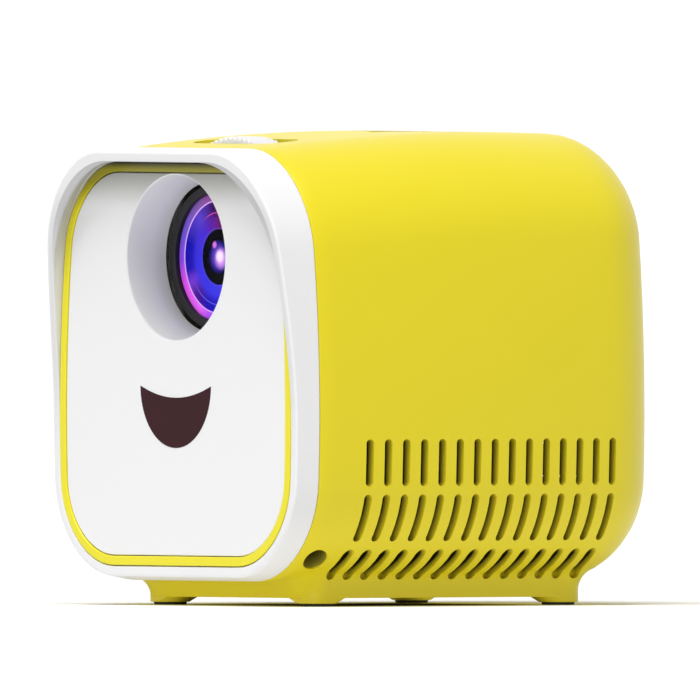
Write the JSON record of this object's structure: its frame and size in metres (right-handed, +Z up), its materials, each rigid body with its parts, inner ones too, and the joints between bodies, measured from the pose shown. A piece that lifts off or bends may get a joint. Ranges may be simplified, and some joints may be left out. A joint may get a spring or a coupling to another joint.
{
  "type": "mini projector",
  "caption": "Palm-sized pillow-shaped projector with a hooded front, recessed lens, focus wheel in a top window, side vents, keypad and rear ports.",
  "frame": {"origin": "on the table, under the middle of the whole body's box", "axes": "+X to the right seen from the lens side, +Y from the lens side to the back, +Z up"},
  "size_m": [0.0796, 0.0908, 0.086],
  "materials": {
    "yellow_plastic": "fine satin moulding",
    "trim_plastic": "satin",
    "white_plastic": "satin",
    "black_plastic": "matt",
    "dark_plastic": "matt",
    "rubber": "matt",
    "steel": "zinc plated",
    "brass": "turned",
    "aluminium": "extruded",
    "coated_glass": "polished, blue coated",
    "clear_glass": "polished",
    "lcd_glass": "polished",
    "board": "solder mask",
    "paper": "paper, matt",
    "phosphor": "matt"
  },
  "bodies": {
    "root": {"casing": "yellow_plastic", "bottom_cover": "yellow_plastic", "trim_ring": "trim_plastic", "front_bezel": "white_plastic", "front_panel": "white_plastic", "side_screw_left": "steel", "side_screw_right": "steel", "ring_clip": "steel", "speaker_basket": "steel", "cover_screw_1": "steel", "cover_screw_2": "steel", "cover_screw_3": "steel", "cover_screw_4": "steel", "board_screw_1": "steel", "board_screw_2": "steel", "board_screw_3": "steel", "board_screw_4": "steel", "screen_port": "steel", "data_port": "steel", "card_slot": "steel", "tripod_insert": "brass", "rubber_pad_front_left": "rubber", "rubber_pad_front_right": "rubber", "rubber_pad_back_left": "rubber", "rubber_pad_back_right": "rubber", "lens_mount": "dark_plastic", "inner_frame": "dark_plastic", "engine_housing": "black_plastic", "engine_lid": "black_plastic", "fan_frame": "black_plastic", "power_port": "black_plastic", "sound_port": "black_plastic", "receiver_window": "black_plastic", "front_fresnel": "clear_glass", "rear_fresnel": "clear_glass", "condenser_lens": "clear_glass", "lcd_panel": "lcd_glass", "lamp_board": "aluminium", "heat_sink": "aluminium", "lamp_chip": "phosphor", "main_board": "board", "keypad_board": "board", "speaker_cone": "paper"},
    "focus_ring": {"focus_ring": "white_plastic"},
    "lens_group": {"lens_barrel": "black_plastic", "retaining_ring": "black_plastic", "front_lens": "coated_glass", "aperture_stop": "black_plastic", "rear_lens": "clear_glass"},
    "fan_rotor": {"fan_rotor": "black_plastic"},
    "power_button": {"power_button": "white_plastic"},
    "menu_button": {"menu_button": "white_plastic"},
    "ok_button": {"ok_button": "white_plastic"},
    "up_button": {"up_button": "white_plastic"},
    "down_button": {"down_button": "white_plastic"},
    "left_button": {"left_button": "white_plastic"},
    "right_button": {"right_button": "white_plastic"}
  },
  "joints": [
    {"name": "focus_turn", "type": "hinge", "parent": "root", "child": "focus_ring", "pos_m": [0, -0.02471, 0.0634], "axis": [0, 1, 0], "range_deg": [-60, 60]},
    {"name": "lens_slide", "type": "slide", "parent": "root", "child": "lens_group", "axis": [0, 1, 0], "range_m": [-0.0012, 0.0012]},
    {"name": "fan_spin", "type": "hinge", "parent": "root", "child": "fan_rotor", "pos_m": [0.0276, 0.00195, 0.0285], "axis": [1, 0, 0], "continuous": true},
    {"name": "power_press", "type": "slide", "parent": "root", "child": "power_button", "axis": [0, 0, -1], "range_m": [0, 0.0005], "stiffness_N_per_m": 400, "springref_m": -0.0005},
    {"name": "menu_press", "type": "slide", "parent": "root", "child": "menu_button", "axis": [0, 0, -1], "range_m": [0, 0.0005], "stiffness_N_per_m": 400, "springref_m": -0.0005},
    {"name": "ok_press", "type": "slide", "parent": "root", "child": "ok_button", "axis": [0, 0, -1], "range_m": [0, 0.0005], "stiffness_N_per_m": 400, "springref_m": -0.0005},
    {"name": "up_press", "type": "slide", "parent": "root", "child": "up_button", "axis": [0, 0, -1], "range_m": [0, 0.0005], "stiffness_N_per_m": 400, "springref_m": -0.0005},
    {"name": "down_press", "type": "slide", "parent": "root", "child": "down_button", "axis": [0, 0, -1], "range_m": [0, 0.0005], "stiffness_N_per_m": 400, "springref_m": -0.0005},
    {"name": "left_press", "type": "slide", "parent": "root", "child": "left_button", "axis": [0, 0, -1], "range_m": [0, 0.0005], "stiffness_N_per_m": 400, "springref_m": -0.0005},
    {"name": "right_press", "type": "slide", "parent": "root", "child": "right_button", "axis": [0, 0, -1], "range_m": [0, 0.0005], "stiffness_N_per_m": 400, "springref_m": -0.0005}
  ],
  "couplings": [
    {"joint": "lens_slide", "follows": "focus_turn", "m_per_rad": 0.0011}
  ]
}
